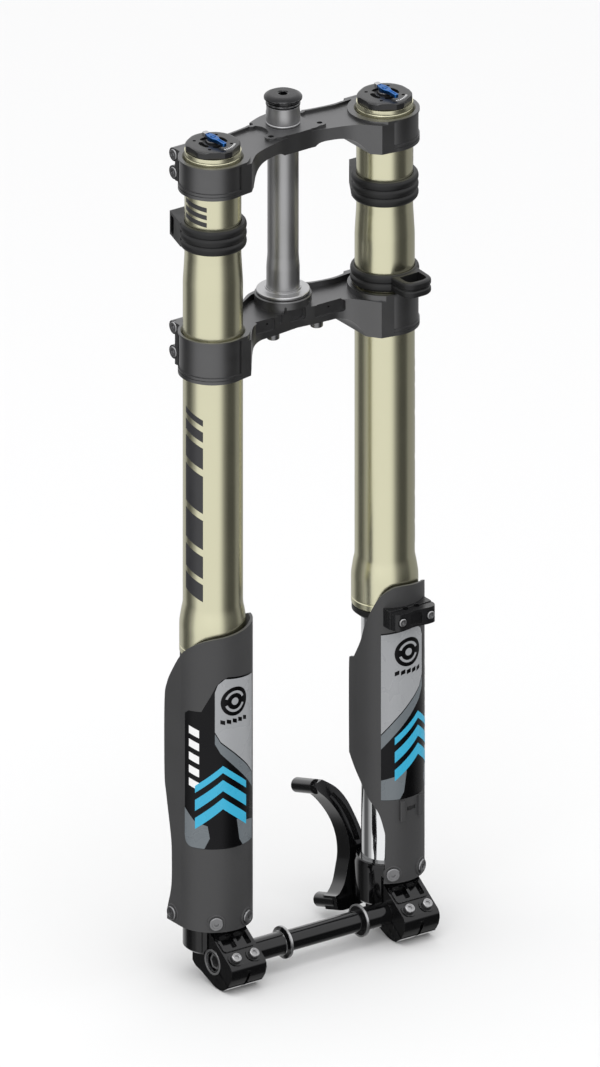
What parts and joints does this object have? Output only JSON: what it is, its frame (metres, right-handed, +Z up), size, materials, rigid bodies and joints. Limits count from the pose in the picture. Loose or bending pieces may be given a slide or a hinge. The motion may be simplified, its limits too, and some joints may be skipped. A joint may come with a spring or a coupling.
{
  "type": "double-crown suspension fork",
  "caption": "Long-travel double-crown bicycle suspension fork: two sliding legs, clamped crowns, steerer, hollow axle, stanchion guards and a brake caliper mount.",
  "frame": {"origin": "on the steerer's axis, where the crown race sits on the lower crown", "axes": "+Z up along the steerer, -Y to the front of the bicycle, +X to the rider's left, the brake side"},
  "size_m": [0.2688, 0.1464, 0.8422],
  "materials": {
    "gold_tube": "satin champagne-gold anodised",
    "crown_anodised": "satin dark grey anodised",
    "gloss_black": "gloss black anodised",
    "satin_silver": "satin machined",
    "stanchion_chrome": "ground and hard chromed",
    "bolt_steel": "dark plated",
    "spring_steel": "powder coated",
    "black_rubber": "moulded",
    "guard_plastic": "moulded, fine texture, printed panel",
    "bushing_bronze": "coated sleeve",
    "blue_anodised": "bright blue anodised"
  },
  "bodies": {
    "chassis": {"coil_spring": "spring_steel", "crown_race": "satin_silver", "damper_cartridge": "satin_silver", "hose_guide": "black_rubber", "left_fender_standoff": "bolt_steel", "left_lower_bushing": "bushing_bronze", "left_lower_clamp_bolt_lower": "bolt_steel", "left_lower_clamp_bolt_upper": "bolt_steel", "left_outer_tube": "gold_tube", "left_top_cap": "gloss_black", "left_top_clamp_bolt_lower": "bolt_steel", "left_top_clamp_bolt_upper": "bolt_steel", "left_tube_band": "black_rubber", "left_wiper_seal": "black_rubber", "lower_crown": "crown_anodised", "right_fender_standoff": "bolt_steel", "right_lower_bushing": "bushing_bronze", "right_lower_clamp_bolt_lower": "bolt_steel", "right_lower_clamp_bolt_upper": "bolt_steel", "right_outer_tube": "gold_tube", "right_top_cap": "gloss_black", "right_top_clamp_bolt_lower": "bolt_steel", "right_top_clamp_bolt_upper": "bolt_steel", "right_tube_band": "black_rubber", "right_wiper_seal": "black_rubber", "spring_preload_tube": "satin_silver", "steerer_cap": "gloss_black", "steerer_collar": "satin_silver", "steerer_tube": "satin_silver", "top_crown": "crown_anodised"},
    "lower_assembly": {"axle": "gloss_black", "damper_piston": "bushing_bronze", "damper_rod": "satin_silver", "hose_clamp_base": "guard_plastic", "hose_clamp_cover": "guard_plastic", "hose_clamp_screw_inner": "bolt_steel", "hose_clamp_screw_outer": "bolt_steel", "left_axle_lug": "gloss_black", "left_guard": "guard_plastic", "left_guard_bolt_inner": "bolt_steel", "left_guard_bolt_outer": "bolt_steel", "left_guard_bolt_side": "bolt_steel", "left_hub_spacer": "gloss_black", "left_pinch_bolt_inner": "bolt_steel", "left_pinch_bolt_outer": "bolt_steel", "left_stanchion": "stanchion_chrome", "left_upper_bushing": "bushing_bronze", "right_axle_lug": "gloss_black", "right_guard": "guard_plastic", "right_guard_bolt_inner": "bolt_steel", "right_guard_bolt_outer": "bolt_steel", "right_guard_bolt_side": "bolt_steel", "right_hub_spacer": "gloss_black", "right_pinch_bolt_inner": "bolt_steel", "right_pinch_bolt_outer": "bolt_steel", "right_stanchion": "stanchion_chrome", "right_upper_bushing": "bushing_bronze", "spring_seat": "gloss_black"},
    "left_adjuster_knob": {"left_adjuster": "blue_anodised"},
    "right_adjuster_knob": {"right_adjuster": "blue_anodised"}
  },
  "joints": [
    {"name": "fork_travel", "type": "slide", "parent": "chassis", "child": "lower_assembly", "axis": [0, 0, 1], "range_m": [0, 0.2], "stiffness_N_per_m": 6000, "springref_m": -0.012, "deforming": ["coil_spring"]},
    {"name": "left_adjuster_turn", "type": "hinge", "parent": "chassis", "child": "left_adjuster_knob", "pos_m": [0.0955, -0.025, 0.185], "axis": [0, 0, 1], "range_deg": [-150, 150]},
    {"name": "right_adjuster_turn", "type": "hinge", "parent": "chassis", "child": "right_adjuster_knob", "pos_m": [-0.0955, -0.025, 0.185], "axis": [0, 0, 1], "range_deg": [-150, 150]}
  ]
}
